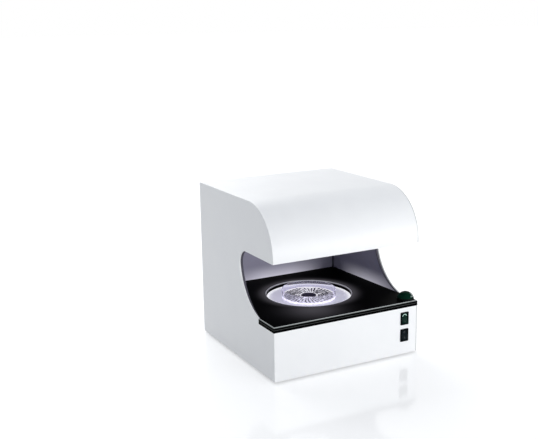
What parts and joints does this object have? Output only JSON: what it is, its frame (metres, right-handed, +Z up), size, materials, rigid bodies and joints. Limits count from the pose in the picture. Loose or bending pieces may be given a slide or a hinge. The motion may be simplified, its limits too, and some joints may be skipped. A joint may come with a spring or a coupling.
{
  "type": "colony counter",
  "caption": "Bench colony counter: hooded sheet-metal housing open at the front, black work plate, lit dish well, down-looking camera, rocker switches and dimmer knob.",
  "frame": {"origin": "on the bench under the middle of the housing, in the plane of the feet", "axes": "+Z up, -Y out of the open front, +X to the right seen from the front"},
  "size_m": [0.26, 0.2686, 0.266],
  "materials": {
    "white_coat": "satin white powder coat",
    "chamber_grey": "matt mid-grey paint",
    "black_acrylic": "polished black acrylic",
    "opal_acrylic": "opal diffuser, lit from behind",
    "cup_white": "matt white reflector",
    "zinc_steel": "zinc plated",
    "cast_silver": "machined",
    "circuit_board": "solder mask",
    "led_white": "moulded package",
    "camera_black": "black anodised",
    "lens_glass": "coated",
    "clear_polystyrene": "clear moulded",
    "agar_gel": "moist gel",
    "switch_black": "moulded, semi-gloss",
    "switch_green": "moulded, gloss",
    "contact_brass": "bright",
    "plated_shell": "nickel plated",
    "lead_black": "matt sheath",
    "foot_rubber": "matt",
    "seal_rubber": "matt sealing profile"
  },
  "bodies": {
    "casing": {"left_side_panel": "white_coat", "right_side_panel": "white_coat", "cutout_seal_left": "seal_rubber", "cutout_seal_right": "seal_rubber", "top_cover": "white_coat", "front_panel": "white_coat", "rear_panel": "white_coat", "base_plate": "zinc_steel", "nut_blocks": "zinc_steel", "casing_screws": "zinc_steel", "plate_ledge_left": "zinc_steel", "plate_ledge_right": "zinc_steel", "rear_cross_rail": "zinc_steel", "work_plate_top": "black_acrylic", "work_plate_under": "black_acrylic", "chamber_left_wall": "chamber_grey", "chamber_right_wall": "chamber_grey", "chamber_back_wall": "chamber_grey", "chamber_ceiling": "chamber_grey", "diffuser_disc": "opal_acrylic", "light_cup": "cup_white", "light_cup_screws": "zinc_steel", "lower_led_board": "circuit_board", "lower_leds": "led_white", "ring_light_housing": "cast_silver", "ring_light_diffuser": "opal_acrylic", "ring_light_board": "circuit_board", "ring_light_leds": "led_white", "camera_bridge": "zinc_steel", "bridge_screws": "zinc_steel", "camera_body": "camera_black", "camera_cable": "lead_black", "lens_barrel": "camera_black", "power_switch_housing": "switch_black", "light_switch_housing": "switch_black", "switch_blades": "contact_brass", "dimmer_pot": "switch_black", "dimmer_nut": "zinc_steel", "controller_board": "circuit_board", "driver_board": "circuit_board", "board_standoffs": "contact_brass", "board_components": "switch_black", "driver_heatsink": "cast_silver", "usb_socket": "plated_shell", "power_jack": "switch_black", "jack_nut": "zinc_steel", "power_lead": "lead_black", "rubber_feet": "foot_rubber", "foot_screws": "zinc_steel", "foot_nuts": "zinc_steel"},
    "dish": {"petri_dish": "clear_polystyrene", "agar": "agar_gel"},
    "power_rocker": {"power_rocker": "switch_black"},
    "light_rocker": {"light_rocker": "switch_green"},
    "dimmer": {"dimmer_knob": "switch_green", "dimmer_shaft": "zinc_steel"},
    "iris_ring": {"iris_ring": "camera_black"},
    "focus_ring": {"focus_ring": "camera_black"},
    "lens_cell": {"lens_cell": "camera_black", "lens_glasses": "lens_glass"}
  },
  "joints": [
    {"name": "dish_lift", "type": "slide", "parent": "casing", "child": "dish", "axis": [0, 0, 1], "range_m": [0, 0.06]},
    {"name": "power_rocker_tilt", "type": "hinge", "parent": "casing", "child": "power_rocker", "pos_m": [0.105, -0.13, 0.0343], "axis": [1, 0, 0], "range_deg": [0, 16]},
    {"name": "light_rocker_tilt", "type": "hinge", "parent": "casing", "child": "light_rocker", "pos_m": [0.105, -0.13, 0.0622], "axis": [1, 0, 0], "range_deg": [0, 16]},
    {"name": "dimmer_turn", "type": "hinge", "parent": "casing", "child": "dimmer", "pos_m": [0.1163, -0.1173, 0.089], "axis": [0, 0, 1], "range_deg": [-135, 135]},
    {"name": "iris_turn", "type": "hinge", "parent": "casing", "child": "iris_ring", "pos_m": [0, -0.009, 0.213], "axis": [0, 0, 1], "range_deg": [0, 60]},
    {"name": "focus_turn", "type": "hinge", "parent": "casing", "child": "focus_ring", "pos_m": [0, -0.009, 0.20705], "axis": [0, 0, 1], "range_deg": [0, 120]},
    {"name": "lens_cell_slide", "type": "slide", "parent": "casing", "child": "lens_cell", "axis": [0, 0, -1], "range_m": [0, 0.002]}
  ],
  "couplings": [
    {"joint": "lens_cell_slide", "follows": "focus_turn", "m_per_rad": 0.00095397}
  ]
}
